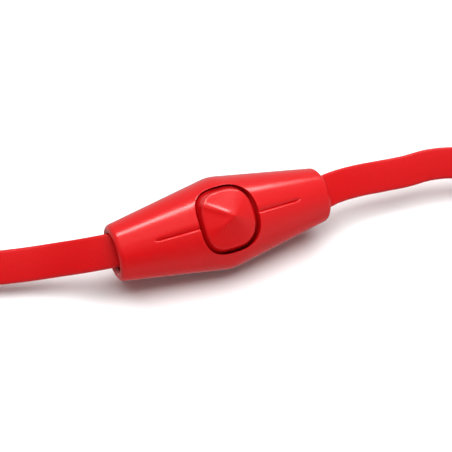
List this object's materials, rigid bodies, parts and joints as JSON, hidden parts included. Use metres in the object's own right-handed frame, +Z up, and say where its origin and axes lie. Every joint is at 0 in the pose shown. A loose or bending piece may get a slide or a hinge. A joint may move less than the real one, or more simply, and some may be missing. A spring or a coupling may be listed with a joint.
{
  "type": "wired earphones",
  "caption": "In-ear earphones on a flat ribbon cord with a double-tapered one-button in-line control, put away with the cord in tied hanks.",
  "frame": {"origin": "on the ground plane, under the middle of the box round the in-line control and the two earbuds, which is 25.6 mm right of the control's middle and 3 mm in front of it", "axes": "+X along the control's axis from its plug side towards the splitter and the earbuds, +Z up, and the control's button leans 47 degrees from up towards -Y"},
  "size_m": [0.2517, 0.0324, 0.0174],
  "materials": {
    "red_gloss": "moulded and polished",
    "red_cord": "matte extruded skin",
    "red_soft": "matte moulding",
    "black_plastic": "moulded",
    "silicone": "soft matte",
    "steel": "plain sheet",
    "gold": "plated and turned",
    "board_green": "solder mask",
    "ceramic": "sintered",
    "magnet_grey": "plated",
    "copper": "enamelled wire",
    "film": "thin film"
  },
  "bodies": {
    "earphones": {"front_shell": "red_gloss", "rear_shell": "red_gloss", "switch_body": "black_plastic", "switch_cover": "steel", "snap_dome": "steel", "circuit_board": "board_green", "bias_resistor": "black_plastic", "filter_capacitor": "ceramic", "microphone_capsule": "steel", "microphone_gasket": "black_plastic", "cable_clamp_left": "red_soft", "cable_clamp_right": "red_soft", "lead_left": "red_cord", "lead_hank": "red_cord", "lead_to_plug": "red_cord", "lead_right": "red_cord", "lead_band_near": "silicone", "lead_band_far": "silicone", "branch_band": "silicone", "splitter_body": "red_gloss", "plug_housing": "red_gloss", "plug_strain_relief": "red_soft", "plug_tip": "gold", "plug_ring_1": "gold", "plug_ring_2": "gold", "plug_sleeve": "gold", "plug_insulator_1": "black_plastic", "plug_insulator_2": "black_plastic", "plug_insulator_3": "black_plastic", "branch_left": "red_cord", "branch_hank_left": "red_cord", "earbud_lead_left": "red_cord", "rear_housing_left": "red_gloss", "front_housing_left": "red_gloss", "ear_tip_left": "silicone", "strain_relief_left": "red_soft", "nozzle_screen_left": "steel", "driver_basket_left": "steel", "driver_plate_left": "steel", "driver_magnet_left": "magnet_grey", "voice_coil_left": "copper", "diaphragm_left": "film", "branch_right": "red_cord", "branch_hank_right": "red_cord", "earbud_lead_right": "red_cord", "rear_housing_right": "red_gloss", "front_housing_right": "red_gloss", "ear_tip_right": "silicone", "strain_relief_right": "red_soft", "nozzle_screen_right": "steel", "driver_basket_right": "steel", "driver_plate_right": "steel", "driver_magnet_right": "magnet_grey", "voice_coil_right": "copper", "diaphragm_right": "film"},
    "button": {"button_cap": "red_gloss"},
    "plunger": {"switch_plunger": "black_plastic"}
  },
  "joints": [
    {"name": "button_press", "type": "slide", "parent": "earphones", "child": "button", "axis": [0, 0.7314, -0.682], "range_m": [0, 0.0003], "stiffness_N_per_m": 1500, "springref_m": -0.0002},
    {"name": "plunger_press", "type": "slide", "parent": "earphones", "child": "plunger", "axis": [0, 0.7314, -0.682], "range_m": [0, 0.0003], "deforming": ["snap_dome"]}
  ],
  "couplings": [
    {"joint": "plunger_press", "follows": "button_press", "ratio": 1}
  ]
}
